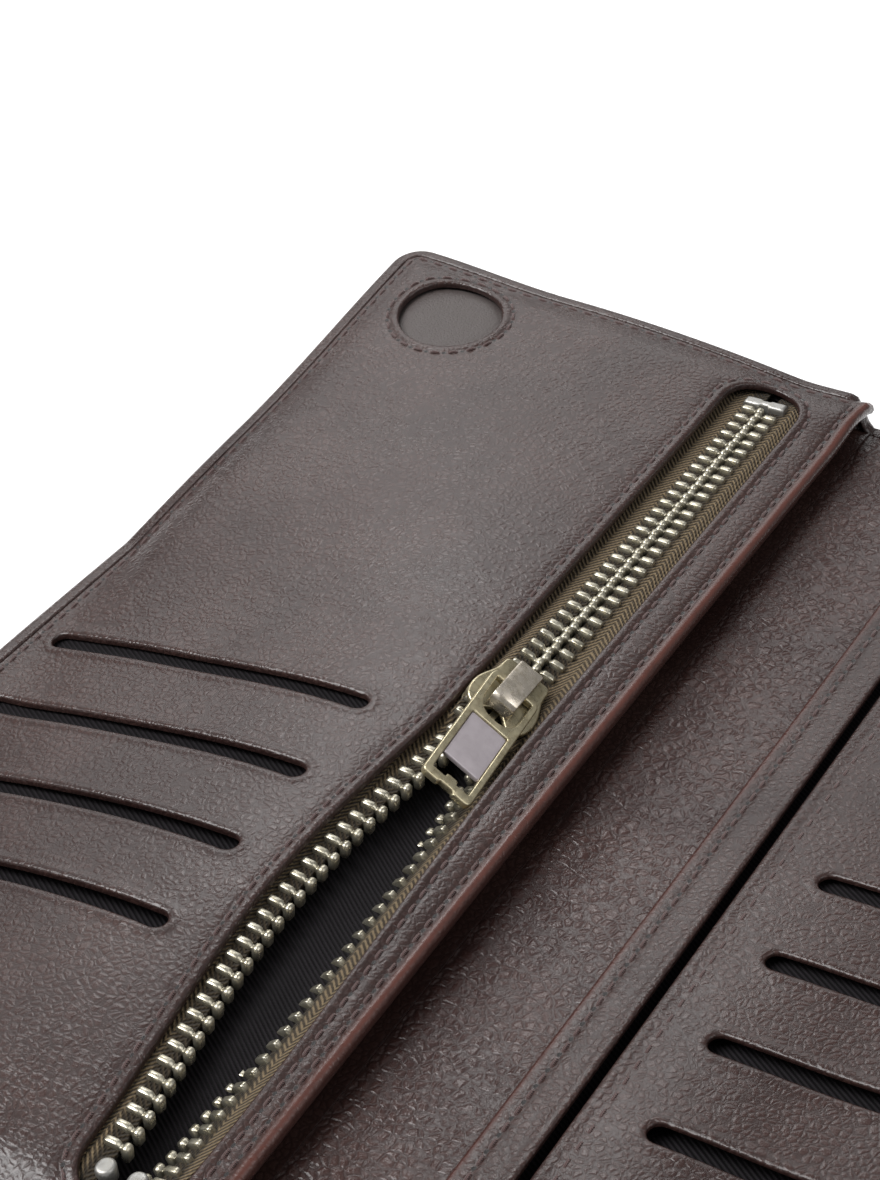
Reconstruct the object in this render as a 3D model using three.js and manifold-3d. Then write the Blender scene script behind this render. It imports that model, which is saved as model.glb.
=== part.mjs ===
// Long bifold leather wallet, lying open, with a zipped coin pocket in its left half.
// Millimetres. X runs across the open wallet, +Y along the spine to the far end, +Z up.
// Origin: the middle of the spine on the table.
import * as THREE from "three";
import { mergeVertices } from "three/addons/utils/BufferGeometryUtils.js";
import Module from "manifold-3d";

const wasm = await Module();
wasm.setup();

// ---- driving dimensions -------------------------------------------------
const LENGTH = 202;            // along the spine
const SPINE = 18;              // flat back between the two halves
const HALF = 94;               // width of each half, spine edge to outer edge
const CORNER = 5.5;            // outer corner radius
const WALL = 1.2;              // turned edge of the cover
const GAP = 0.3;               // clearance between neighbouring pieces
const FREE = 0.8;              // inner pieces stop this far short of the fold line

const PITCH = 2.65;            // one metal tooth to the next
const TEETH = 66;              // teeth on each tape
const LAST_TOOTH = (TEETH - 1) * PITCH / 2 + 0.95;   // y of the tooth beside the bottom stop
const ZIP_X = -SPINE / 2 - FREE - 14.4;              // centreline of the zip
const TAPE_Z = 8.65;           // middle of the tapes and teeth
const WINDOW = 6.2;            // half width of the zip window
const WINDOW_END = 93;         // half length of the zip window
const SLIDER_Y = 6;            // where the slider stands at rest

const SLOT = 56;               // card slot length, for a 54 mm wide card
const SLOT_W = 2.4;            // card slot width
const SLOT_Y = -6;             // the farthest card slot
const SLOT_STEP = 16;          // one card slot to the next
const SLOTS = 4;
const POCKET = 70;             // depth of each card pocket

const MAGNET_IN = [23, 16.5];  // magnet centre, from the outer and from the far edge
const MAGNET_HOLE = 9.2;       // radius of the cut-out over it

// ---- materials ----------------------------------------------------------
const mat = (color, roughness, metalness) =>
  new THREE.MeshStandardMaterial({ color, roughness, metalness });
const LEATHER = mat(0x2e2120, 0.5, 0);
const GUTTER = mat(0x332423, 0.5, 0);
const LINING = mat(0x17131a, 0.8, 0);
const TAPE = mat(0x4b4436, 0.85, 0);
const BRASS = mat(0x97906f, 0.35, 1);
const PLATE = mat(0x5d5560, 0.25, 1);
const STEEL = mat(0x8c8c90, 0.35, 1);

const part = new THREE.Group();
part.name = "long_bifold_zip_wallet";

function add(name, geometry, material) {
  const mesh = new THREE.Mesh(geometry, material);
  mesh.name = name;
  part.add(mesh);
  return mesh;
}

// ---- solids -------------------------------------------------------------
function toSolid(geometry) {
  const g = geometry.clone();
  g.deleteAttribute("normal");
  g.deleteAttribute("uv");
  const m = mergeVertices(g, 1e-4);
  return new wasm.Manifold(new wasm.Mesh({
    numProp: 3,
    vertProperties: new Float32Array(m.attributes.position.array),
    triVerts: new Uint32Array(m.index.array),
  }));
}

function toGeometry(solid) {
  const m = solid.getMesh();
  const g = new THREE.BufferGeometry();
  g.setAttribute("position", new THREE.BufferAttribute(new Float32Array(m.vertProperties), 3));
  g.setIndex(new THREE.BufferAttribute(new Uint32Array(m.triVerts), 1));
  const flat = g.toNonIndexed();
  flat.computeVertexNormals();
  return flat;
}

const join = (...gs) => toGeometry(gs.map(toSolid).reduce((a, b) => a.add(b)));
const cut = (g, ...tools) =>
  toGeometry(tools.map(toSolid).reduce((a, b) => a.subtract(b), toSolid(g)));

function prism(shape, z0, z1, curveSegments = 6) {
  return new THREE.ExtrudeGeometry(shape, { depth: z1 - z0, bevelEnabled: false, curveSegments })
    .translate(0, 0, z0);
}

const box = (x0, x1, y0, y1, z0, z1) => new THREE.BoxGeometry(x1 - x0, y1 - y0, z1 - z0)
  .translate((x0 + x1) / 2, (y0 + y1) / 2, (z0 + z1) / 2);

const disc = (x, y, r, z0, z1, n = 32) => new THREE.CylinderGeometry(r, r, z1 - z0, n)
  .rotateX(Math.PI / 2).translate(x, y, (z0 + z1) / 2);

// A sheet of one half: straight at the spine side (xs), rounded at the outer side (xo).
function halfShape(xs, xo, y, r) {
  const s = Math.sign(xo - xs);
  const shape = new THREE.Shape();
  shape.moveTo(xs, -y);
  shape.lineTo(xo - s * r, -y);
  shape.quadraticCurveTo(xo, -y, xo, -y + r);
  shape.lineTo(xo, y - r);
  shape.quadraticCurveTo(xo, y, xo - s * r, y);
  shape.lineTo(xs, y);
  shape.closePath();
  return shape;
}

// A slot with round ends, running along X or along Y.
function obround(cx, cy, length, width, alongX, shape = new THREE.Path()) {
  const r = width / 2, h = length / 2 - r;
  const [a, b] = alongX ? [[cx - h, cy], [cx + h, cy]] : [[cx, cy - h], [cx, cy + h]];
  const t = alongX ? Math.PI / 2 : Math.PI;
  shape.absarc(a[0], a[1], r, t, t + Math.PI, false);
  shape.absarc(b[0], b[1], r, t + Math.PI, t + 2 * Math.PI, false);
  shape.closePath();
  return shape;
}

const slotY = (k) => SLOT_Y - k * SLOT_STEP;

// ---- how the zip runs ---------------------------------------------------
// The rows meet behind the slider, part inside it, and stand open in front of it.
const MOUTH_Y = SLIDER_Y - 5.5;
const STOP_Y = -LAST_TOOTH - 1.6;
const smooth = (t) => { const u = Math.min(Math.max(t, 0), 1); return u * u * (3 - 2 * u); };
function bow(y) {
  const t = (MOUTH_Y - y) / (MOUTH_Y - STOP_Y);
  return t <= 0 || t >= 1 ? 0 : Math.sin(Math.PI * t) ** 1.3;
}
function lip(y, side) {
  const parted = 1.5 * smooth((SLIDER_Y + 2 - y) / 5);
  return parted + (side < 0 ? 4.2 : 1.6) * bow(y);
}
const edge = (y, side) => WINDOW + (side < 0 ? 3 : 0.8) * bow(y);

// The zip window: one border bows out where the zip stands open.
function windowPath(grow, end, Kind = THREE.Path) {
  const path = new Kind();
  const n = 26, straight = end - WINDOW;
  const ys = Array.from({ length: n + 1 }, (_, i) => -straight + (2 * straight * i) / n);
  const pts = ys.map((y) => [ZIP_X + edge(y, 1) + grow, y]);
  for (let i = 1; i < 8; i++) {
    const a = Math.PI * i / 8;
    pts.push([ZIP_X + (WINDOW + grow) * Math.cos(a), straight + WINDOW * Math.sin(a)]);
  }
  [...ys].reverse().forEach((y) => pts.push([ZIP_X - edge(y, -1) - grow, y]));
  for (let i = 1; i < 8; i++) {
    const a = Math.PI * i / 8;
    pts.push([ZIP_X - (WINDOW + grow) * Math.cos(a), -straight - WINDOW * Math.sin(a)]);
  }
  pts.forEach(([x, y], i) => (i ? path.lineTo(x, y) : path.moveTo(x, y)));
  path.closePath();
  return path;
}

// ---- spine --------------------------------------------------------------
const hs = SPINE / 2, hl = LENGTH / 2;
add("spine_cover", box(-hs + 0.15, hs - 0.15, -hl, hl, 0, 1.4), LEATHER);
add("spine_lining", box(-hs + 1, hs - 1, -hl + 1.8, hl - 1.8, 1.45, 1.8), GUTTER);

// ---- both halves: cover, bill pocket, back wall, card pockets, magnet ----
function half(side, name, z) {
  const xs = side * (hs + 0.15), xo = side * (hs + HALF);
  const xi = side * (hs + FREE), xw = xo - side * (WALL + GAP);
  const yi = hl - WALL - GAP, r = CORNER - WALL - GAP;
  const base = prism(halfShape(xs, xo, hl, CORNER), 0, z.top);
  const room = prism(halfShape(side * (hs - 5), xo - side * WALL, hl - WALL, CORNER - WALL), 1.4, z.top + 1);
  const fold = box(side * hs - 0.9, side * hs + 0.9, -hl - 1, hl + 1, 1.4, z.top + 1);
  add(`${name}_cover`, cut(base, room, fold), LEATHER);
  add(`${name}_bill_lining`, prism(halfShape(xi, xw, yi, r), 1.7, 2), LINING);
  add(`${name}_pocket_back`, prism(halfShape(xi, xw, yi, r), z.back, z.back + 0.5), LEATHER);
  const mx = xo - side * MAGNET_IN[0], my = hl - MAGNET_IN[1];
  add(`${name}_magnet`, disc(mx, my, 8.5, z.magnet, z.top - 2.1), STEEL);
  add(`${name}_magnet_cover`, disc(mx, my, 11, z.top - 2, z.top - 1.5), LEATHER);
  for (let k = 0; k < SLOTS; k++) {
    const top = z.pockets - z.sheet * k, y = slotY(k) - SLOT_W / 2 - 1;
    const x = z.slotX;
    add(`${name}_card_pocket_${k + 1}`,
      box(x - SLOT / 2 - 1, x + SLOT / 2 + 1, y, y + POCKET + 3.4, top - 0.15, top), LINING);
  }
  const shape = halfShape(xi, xw, yi, r);
  for (let k = 0; k < SLOTS; k++) shape.holes.push(obround(z.slotX, slotY(k), SLOT, SLOT_W, true));
  const hole = new THREE.Path();
  hole.absarc(mx, my, MAGNET_HOLE, 0, 2 * Math.PI, false);
  shape.holes.push(hole);
  return { shape, xi };
}

// Left half: the thicker one, with the coin pocket.
const L = { top: 10.5, back: 3.2, pockets: 9, sheet: 0.35, magnet: 6.4, slotX: ZIP_X - 16 - SLOT / 2 };
const left = half(-1, "left", L);
left.shape.holes.push(windowPath(0, WINDOW_END));
add("left_panel", join(
  prism(left.shape, L.top - 1.2, L.top, 8),
  box(left.xi - WALL, left.xi, -hl + WALL + GAP, hl - WALL - GAP, 3.9, L.top - 0.4),
), LEATHER);

const bagOuter = left.xi - WALL - GAP, bagInner = ZIP_X - 46;
const bagY = WINDOW_END + 2;
add("coin_bag_back", box(bagInner, bagOuter, -bagY, bagY, 3.9, 4.1), LINING);
add("coin_bag_front", (() => {
  const s = new THREE.Shape();
  s.moveTo(bagInner, -bagY); s.lineTo(bagOuter, -bagY);
  s.lineTo(bagOuter, bagY); s.lineTo(bagInner, bagY); s.closePath();
  s.holes.push(windowPath(0.2, WINDOW_END));
  return prism(s, 7.3, 7.6);
})(), LINING);

// Right half: card slots and one long slip pocket beside the spine.
const R = { top: 6.4, back: 3.1, pockets: 5, sheet: 0.25, magnet: 3.65, slotX: hs + 19.5 + SLOT / 2 };
const right = half(1, "right", R);
const SLIT_X = hs + 9.7;
right.shape.holes.push(obround(SLIT_X, 0, 2 * 84, SLOT_W, false));
add("right_panel", join(
  prism(right.shape, R.top - 1.2, R.top, 8),
  box(right.xi, right.xi + WALL, -hl + WALL + GAP, hl - WALL - GAP, R.back + 0.7, R.top - 0.4),
), LEATHER);
add("right_slip_lining", box(SLIT_X - 4, SLIT_X + 50, -88, 88, 3.8, 3.95), LINING);

// ---- zip tapes, teeth and stops -----------------------------------------
const ROW = 2.9;               // a row's outer face, from the line where the rows meet
const HEAD = 0.5;              // how far a tooth's head reaches past that line
const sideName = (side) => (side < 0 ? "left" : "right");

for (const side of [-1, 1]) {
  const at = (y, d) => [ZIP_X + side * (lip(y, side) + d), y];
  const draw = (pts) => {
    const s = new THREE.Shape();
    (side > 0 ? pts : pts.reverse()).forEach(([x, y], i) => (i ? s.lineTo(x, y) : s.moveTo(x, y)));
    s.closePath();
    return s;
  };

  // tape: follows the lip inside, straight under the leather outside
  const outer = side < 0 ? 12 : 11.5, n = 40, inner = [];
  for (let i = 0; i <= n; i++) {
    const y = LAST_TOOTH + 0.9 - i * (LAST_TOOTH + 0.9 - STOP_Y + 2) / n;
    inner.push(at(y, ROW + 0.3));
  }
  const yTop = WINDOW_END + 2, first = inner[0][1], last = inner[n][1];
  const clear = ZIP_X + side * 3.9, stopClear = ZIP_X + side * 3.6;
  add(`zip_tape_${sideName(side)}`, prism(draw([
    [ZIP_X + side * outer, yTop], [clear, yTop], [clear, first], ...inner,
    [stopClear, last], [stopClear, -yTop], [ZIP_X + side * outer, -yTop],
  ].reverse()), TAPE_Z - 0.25, TAPE_Z + 0.25), TAPE);

  // teeth: one rack per tape, the two racks half a pitch apart
  const shift = side < 0 ? 0 : PITCH / 2;
  const rack = [];
  for (let i = 0; i < TEETH; i++) {
    const y = LAST_TOOTH - shift - i * PITCH, h = 0.55;
    rack.push(at(y + h, 0.9), at(y + h, -HEAD + 0.15), at(y + h - 0.2, -HEAD));
    rack.push(at(y - h + 0.2, -HEAD), at(y - h, -HEAD + 0.15), at(y - h, 0.9));
  }
  const back = [];
  for (let i = 0; i <= 44; i++) {
    const y = LAST_TOOTH - shift - (TEETH - 1) * PITCH - 0.55 + i * ((TEETH - 1) * PITCH + 1.1) / 44;
    back.push(at(y, ROW));
  }
  add(`zip_teeth_${sideName(side)}`, prism(draw([...rack, ...back].reverse()), TAPE_Z - 1.15, TAPE_Z + 1.25), BRASS);

  const sx = ZIP_X + side * (lip(STOP_Y, side) + 0.75);
  add(`zip_top_stop_${sideName(side)}`,
    box(sx - 1.25, sx + 1.25, STOP_Y - 1.5, STOP_Y + 1.3, TAPE_Z - 1.2, TAPE_Z + 1.35), BRASS);
}
add("zip_bottom_stop",
  box(ZIP_X - 3.5, ZIP_X + 3.5, LAST_TOOTH + 1, LAST_TOOTH + 2.9, TAPE_Z - 1, TAPE_Z + 1.4), BRASS);

// ---- slider -------------------------------------------------------------
// Seen from above: round wings at the mouth, narrower at the back.
function sliderShape(inset) {
  const s = new THREE.Shape(), w = 5.4 - inset, b = 3.9 - inset;
  s.moveTo(-b + 1, 5.5 - inset);
  s.quadraticCurveTo(-b, 5.5 - inset, -b, 4);
  s.bezierCurveTo(-b, 1.5, -w, 0.5, -w, -2);
  s.quadraticCurveTo(-w, -5.5 + inset, -2.6, -5.5 + inset);
  s.lineTo(2.6, -5.5 + inset);
  s.quadraticCurveTo(w, -5.5 + inset, w, -2);
  s.bezierCurveTo(w, 0.5, b, 1.5, b, 4);
  s.quadraticCurveTo(b, 5.5 - inset, b - 1, 5.5 - inset);
  s.closePath();
  return s;
}
const channel = (() => {
  const s = new THREE.Shape();
  s.moveTo(-3.15, 7); s.lineTo(-3.15, 3.2); s.lineTo(-4.75, -2.5); s.lineTo(-4.75, -7);
  s.lineTo(4.75, -7); s.lineTo(4.75, -2.5); s.lineTo(3.15, 3.2); s.lineTo(3.15, 7);
  s.closePath();
  return s;
})();
const diamond = (() => {
  const s = new THREE.Shape();
  s.moveTo(0, -0.9); s.lineTo(-0.65, -2.6); s.lineTo(-0.5, -5.2); s.lineTo(0.5, -5.2);
  s.lineTo(0.65, -2.6); s.closePath();
  return s;
})();
const slider = join(
  cut(prism(sliderShape(0), -2.1, 2.4, 5), prism(channel, -1.4, 1.55), box(-9, 9, -9, 9, -0.6, 0.6)),
  prism(diamond, -1.6, 1.8),
).translate(ZIP_X, SLIDER_Y, TAPE_Z);
add("slider_body", slider, BRASS);

// bridge: an arch along the slider that holds the pull's end bar
const arch = new THREE.Shape();
arch.moveTo(-4.1, 0);
arch.lineTo(-4.1, 1.85);
arch.quadraticCurveTo(-4, 2.65, -3, 2.65);
arch.lineTo(3.4, 2.65);
arch.quadraticCurveTo(4.6, 2.65, 4.7, 1.65);
arch.lineTo(5, 0);
arch.lineTo(3.4, 0);
arch.lineTo(3.2, 1.8);
arch.lineTo(-2.9, 1.8);
arch.lineTo(-2.9, 0);
arch.closePath();
const BRIDGE_Z = TAPE_Z + 2.45;
add("slider_bridge", new THREE.ExtrudeGeometry(arch, { depth: 4, bevelEnabled: false, curveSegments: 4 })
  .rotateX(Math.PI / 2).rotateZ(Math.PI / 2).translate(ZIP_X - 2, SLIDER_Y, BRIDGE_Z), BRASS);

// ---- pull tab: a frame, a plate in it, and a slot at the end --------------
const PULL_Y = SLIDER_Y + 0.2, PULL_Z = BRIDGE_Z + 0.88, PULL_L = 22, PULL_W = 4.3;
const tab = new THREE.Shape();
tab.moveTo(-PULL_W + 1.6, 0.6);
tab.quadraticCurveTo(-PULL_W, 0.6, -PULL_W, -1.2);
tab.lineTo(-PULL_W, -PULL_L + 1);
tab.quadraticCurveTo(-PULL_W, -PULL_L, -PULL_W + 1, -PULL_L);
tab.lineTo(PULL_W - 1, -PULL_L);
tab.quadraticCurveTo(PULL_W, -PULL_L, PULL_W, -PULL_L + 1);
tab.lineTo(PULL_W, -1.2);
tab.quadraticCurveTo(PULL_W, 0.6, PULL_W - 1.6, 0.6);
tab.closePath();
const rectHole = (x, y0, y1) => {
  const p = new THREE.Path();
  p.moveTo(-x, y0); p.lineTo(-x, y1); p.lineTo(x, y1); p.lineTo(x, y0); p.closePath();
  return p;
};
const eye = new THREE.Path();
eye.moveTo(-2.7, -0.6);
eye.lineTo(-2.7, -4.1);
eye.quadraticCurveTo(-2.7, -6.8, 0, -6.8);
eye.quadraticCurveTo(2.7, -6.8, 2.7, -4.1);
eye.lineTo(2.7, -0.6);
eye.closePath();
tab.holes.push(eye, rectHole(3.1, -20.4, -8.4));
add("pull_frame", prism(tab, -0.6, 0.6, 5).translate(ZIP_X, PULL_Y, PULL_Z), BRASS);
add("pull_plate", box(-3.05, 3.05, -17.2, -8.45, -0.35, 0.4).translate(ZIP_X, PULL_Y, PULL_Z), PLATE);

export default part;
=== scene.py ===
"""Looks of the long bifold leather wallet: leather, stitching, linings, zip and light.

The wallet lies open on a pale table, its spine along Y. Lengths below are millimetres in the
frame of the CAD part, and become metres when a mesh is made.
"""
import math

import bpy
import numpy as np
from mathutils import Matrix, Vector
from mathutils.geometry import delaunay_2d_cdt


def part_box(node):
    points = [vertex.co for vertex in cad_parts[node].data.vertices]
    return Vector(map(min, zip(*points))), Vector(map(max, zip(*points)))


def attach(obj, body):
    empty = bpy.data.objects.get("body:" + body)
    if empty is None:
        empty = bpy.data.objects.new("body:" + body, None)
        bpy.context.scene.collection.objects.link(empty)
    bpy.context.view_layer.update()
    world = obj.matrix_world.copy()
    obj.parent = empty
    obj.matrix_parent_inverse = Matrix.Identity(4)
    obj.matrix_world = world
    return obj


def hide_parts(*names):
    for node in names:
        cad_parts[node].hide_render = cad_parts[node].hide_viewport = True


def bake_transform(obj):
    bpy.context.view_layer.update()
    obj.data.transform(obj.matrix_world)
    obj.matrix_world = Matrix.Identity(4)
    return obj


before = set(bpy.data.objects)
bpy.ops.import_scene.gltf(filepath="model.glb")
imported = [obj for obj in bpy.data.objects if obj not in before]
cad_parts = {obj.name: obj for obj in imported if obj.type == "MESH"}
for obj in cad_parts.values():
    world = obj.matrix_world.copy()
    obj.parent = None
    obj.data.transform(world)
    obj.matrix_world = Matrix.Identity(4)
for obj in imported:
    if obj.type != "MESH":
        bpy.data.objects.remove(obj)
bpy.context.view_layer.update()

MM = 0.001
NAMES = {-1: "left", 1: "right"}  # the halves, by the sign of their x


def node_box(name):
    """The lowest and highest corners of a CAD node, in millimetres."""
    low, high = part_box(name)
    return [c / MM for c in low], [c / MM for c in high]


# ---- sizes read from the frame ----
_low, _high = node_box("left_cover")
OUTER = -_low[0]  # spine centre to the outer edge of a half
HALF_LENGTH = _high[1]
_low, _high = node_box("left_panel")
FREE_EDGE = -_high[0]  # x of both panels' free edges
PANEL_TOP = _high[2]
_low, _high = node_box("zip_bottom_stop")
ZIP_X = (_low[0] + _high[0]) / 2
STOP_FAR = (_low[1], _high[1])
_low, _high = node_box("zip_tape_left")
TAPE_Z = (_low[2] + _high[2]) / 2
_low, _high = node_box("slider_body")
SLIDER_Y = (_low[1] + _high[1]) / 2

# ---- sizes of the parts, as in the CAD unless a note says otherwise ----
CORNER = 5.5  # radius of the outer corners
PITCH = 2.65  # from tooth to tooth
TEETH = 66  # on each tape
LAST_TOOTH = STOP_FAR[0] - 1.0
STOP_Y = -LAST_TOOTH - 1.6
MOUTH_Y = SLIDER_Y - 5.5  # where the rows part
WINDOW = 6.2  # half the width of the zip window
WINDOW_END = 93.0  # half its length
SLOT = 56.0  # length of a card slot
SLOT_WIDTH = 3.1  # the 2.4 mm cut, sprung open by the pocket below it
SLOT_YS = [-6.0 - 16.0 * k for k in range(4)]
POCKET = 70.0  # depth of a card pocket
LEFT_SLOT_X = ZIP_X - 16 - SLOT / 2
RIGHT_SLOT_X = 27.7 + SLOT / 2  # a little nearer the spine than in the CAD
MAGNET_X = OUTER - 23.0
MAGNET_Y = HALF_LENGTH - 16.5
MAGNET_HOLE = 8.7  # the 9.2 mm recess, less its turned edge
SLIT_X = 18.3  # a little nearer the spine than in the CAD
SLIT_END = 84.0
SLIT_WIDTH = 1.5  # the 2.4 mm slit, its soft lips fallen together
BASE = 1.4  # thickness of the cover
PANEL = 1.2  # room that a panel takes up
LEATHER_THICK = {-1: 0.95, 1: 0.62}  # thickness of each panel's leather


def add(name, data):
    """A new object in the scene."""
    obj = bpy.data.objects.new(name, data)
    bpy.context.scene.collection.objects.link(obj)
    return obj


# ---- camera ----
def make_camera():
    at = Vector((122.2, -234.2, 239.6)) * MM
    target = Vector((-45.3, 22.2, 10.5)) * MM
    roll = math.radians(-4.1)
    forward = (target - at).normalized()
    level = forward.cross(Vector((0, 0, 1))).normalized()
    upright = level.cross(forward)
    right = level * math.cos(roll) + upright * math.sin(roll)
    up = right.cross(forward)
    data = bpy.data.cameras.new("camera")
    data.sensor_fit = "VERTICAL"
    data.sensor_height = 36
    data.sensor_width = 36
    data.lens = 79.6
    data.clip_start = 0.01
    camera = add("camera", data)
    rotation = Matrix((right, up, -forward)).transposed().to_4x4()
    camera.matrix_world = Matrix.Translation(at) @ rotation
    bpy.context.scene.camera = camera


make_camera()


# ---- numbers ----
def smooth(t):
    """From 0 to 1 as t goes from 0 to 1, level at both ends."""
    u = np.clip(t, 0, 1)
    return u * u * (3 - 2 * u)


def soft_floor(z, low, width):
    """z, but never below low: the two meet in a curve of that width."""
    return low + width * np.logaddexp(0, (z - low) / width)


def pulled_in(x, y):
    """How far the left half's outer edge is drawn in towards its far corner."""
    return 4.9 * smooth((y + 25) / 135) * smooth((-x - 62) / 40)


def rim_distance(x, y):
    """How far a point of a half lies inside its outer, near and far edges."""
    dx, dy = OUTER - pulled_in(x, y) - np.abs(x), HALF_LENGTH - np.abs(y)
    qx, qy = np.maximum(CORNER - dx, 0), np.maximum(CORNER - dy, 0)
    return np.where((qx > 0) | (qy > 0), CORNER - np.hypot(qx, qy), np.minimum(dx, dy))


def bow(y):
    """How far the open stretch of the zip bows, from 0 at its ends to 1."""
    t = np.clip((MOUTH_Y - y) / (MOUTH_Y - STOP_Y), 0, 1)
    return np.sin(np.pi * t) ** 1.3


def lip(y, side):
    """How far a row of teeth stands off the zip's line where it is open."""
    parted = (1.5 if side < 0 else 0.5) * smooth((SLIDER_Y + 2 - y) / 5)
    near = 1.0 * smooth((-70 - y) / 20)
    return parted + (4.2 if side < 0 else -1.3) * bow(y) + (0 if side < 0 else near)


def sway(y):
    """How far the open end of the zip is pulled towards the spine."""
    return 2.3 * smooth((-15 - y) / 75)


def window_edge(y, side):
    """Half the width of the zip window to one side of the zip's line."""
    return WINDOW + (3 if side < 0 else 0.8) * bow(y)


# ---- the shape of the two halves ----
RIM = 3.4  # thickness of the sewn edge
RIM_DROP = 2.0  # how far the surface falls to that edge
CURL = 3.2  # how far the left half's far outer corner curls up
FAR_LIFT = 1.9  # how far its far end lifts beside the spine
DENT = 1.9  # depth of the hollow at its outer edge
SLOPE = (-5.08, -0.32, -2.15)  # its fall across the bulge, and how that changes lengthways
ARCH = (-5.39, 3.64, -1.6)  # the same for the curve of the bulge
SHUT = 20.2  # room for both halves when the wallet is shut


def left_top(x, y):
    """Upper surface of the left half: full over the zip, curling up at its far outer corner."""
    s, t = (x - ZIP_X) / 46, (y + 3) / 100
    across, arch = (k[0] + k[1] * t + k[2] * t * t for k in (SLOPE, ARCH))
    dent = DENT * smooth((np.abs(x) - 40) / 34) * np.exp(-((y + 4) / 34) ** 2)
    near = 1.0 * smooth((-30 - y) / 60) * smooth((np.abs(x) - 10) / 6) * (1 - smooth((np.abs(x) - 34) / 12))
    z = soft_floor(PANEL_TOP + across * s + arch * s * s - dent - near, 3.1, 0.7)
    z = z + CURL * smooth((np.abs(x) - 66) / 36) * smooth((y - 50) / 50)
    z = z + FAR_LIFT * smooth((y - 82) / 19) * (1 - smooth((np.abs(x) - 9) / 15))
    drop = np.minimum(z - 3.3, RIM_DROP)
    return z - drop * (1 - smooth(rim_distance(x, y) / 11))


def right_top(x, y):
    """Upper surface of the right half: low at its folded edge, rising outwards, lower at the rim."""
    u = np.abs(x) - FREE_EDGE
    fold = soft_floor(4.6 - 0.03 * y, 3.4, 0.8)
    z = fold + 3.4 * (1 - np.exp(-np.maximum(u, 0) / 17)) + 0.02 * u
    room = SHUT - left_top(-np.abs(x), y)
    z = z - 0.6 * np.logaddexp(0, (z - room) / 0.6)
    drop = np.minimum(z - 3.9, 1.9)
    return z - drop * (1 - smooth(rim_distance(x, y) / 12))


TOPS = {-1: left_top, 1: right_top}


def underside(x, y, side):
    """Lower surface of a half: flat on the table, lifting to the sewn edge."""
    d = rim_distance(x, y)
    near_spine = smooth((np.abs(x) - FREE_EDGE - 2) / 8)
    edge = np.maximum(TOPS[side](x, y) - RIM, 0) * near_spine
    return edge * (1 - smooth((d - 1.5) / 13))


# ---- plane meshes ----
def resample(points, step, closed=True):
    """The line with points about one step apart."""
    p = np.asarray(points, float)
    q = np.vstack([p, p[:1]]) if closed else p
    out = []
    for a, b in zip(q[:-1], q[1:]):
        n = max(1, round(float(np.hypot(*(b - a))) / step))
        out.extend(a + (b - a) * i / n for i in range(n))
    if not closed:
        out.append(q[-1])
    return np.array(out)


def inside(p, loop):
    """Which of the points lie inside a closed line."""
    x, y = p[:, 0][:, None], p[:, 1][:, None]
    a, b = loop, np.roll(loop, -1, 0)
    crosses = (a[:, 1] > y) != (b[:, 1] > y)
    rise = np.where(b[:, 1] == a[:, 1], 1e-12, b[:, 1] - a[:, 1])
    return (crosses & (x < a[:, 0] + (y - a[:, 1]) * (b[:, 0] - a[:, 0]) / rise)).sum(1) % 2 == 1


def distance(p, line, closed=True):
    """From each point to the nearest point of a line of points."""
    p = np.asarray(p, float)
    a = np.asarray(line, float)
    b = np.roll(a, -1, 0)
    if not closed:
        a, b = a[:-1], b[:-1]
    best = np.full(len(p), 1e9)
    for i in range(0, len(a), 64):
        u, v = a[i:i + 64], b[i:i + 64] - a[i:i + 64]
        w = p[:, None] - u
        t = np.clip((w * v).sum(2) / np.maximum((v * v).sum(1), 1e-12), 0, 1)
        best = np.minimum(best, np.hypot(*np.moveaxis(w - t[..., None] * v, 2, 0)).min(1))
    return best


def offset(loop, amount):
    """A closed line moved sideways, to its left for a positive amount."""
    ahead = np.roll(loop, -1, 0) - np.roll(loop, 1, 0)
    ahead /= np.maximum(np.hypot(*ahead.T), 1e-9)[:, None]
    return loop + amount * np.stack([-ahead[:, 1], ahead[:, 0]], 1)


def area(loop):
    x, y = loop[:, 0], loop[:, 1]
    return float(np.dot(x, np.roll(y, -1)) - np.dot(y, np.roll(x, -1))) / 2


def turn(loop, left):
    """The loop, running anticlockwise if left, else clockwise."""
    return loop if (area(loop) > 0) == left else loop[::-1]


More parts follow.
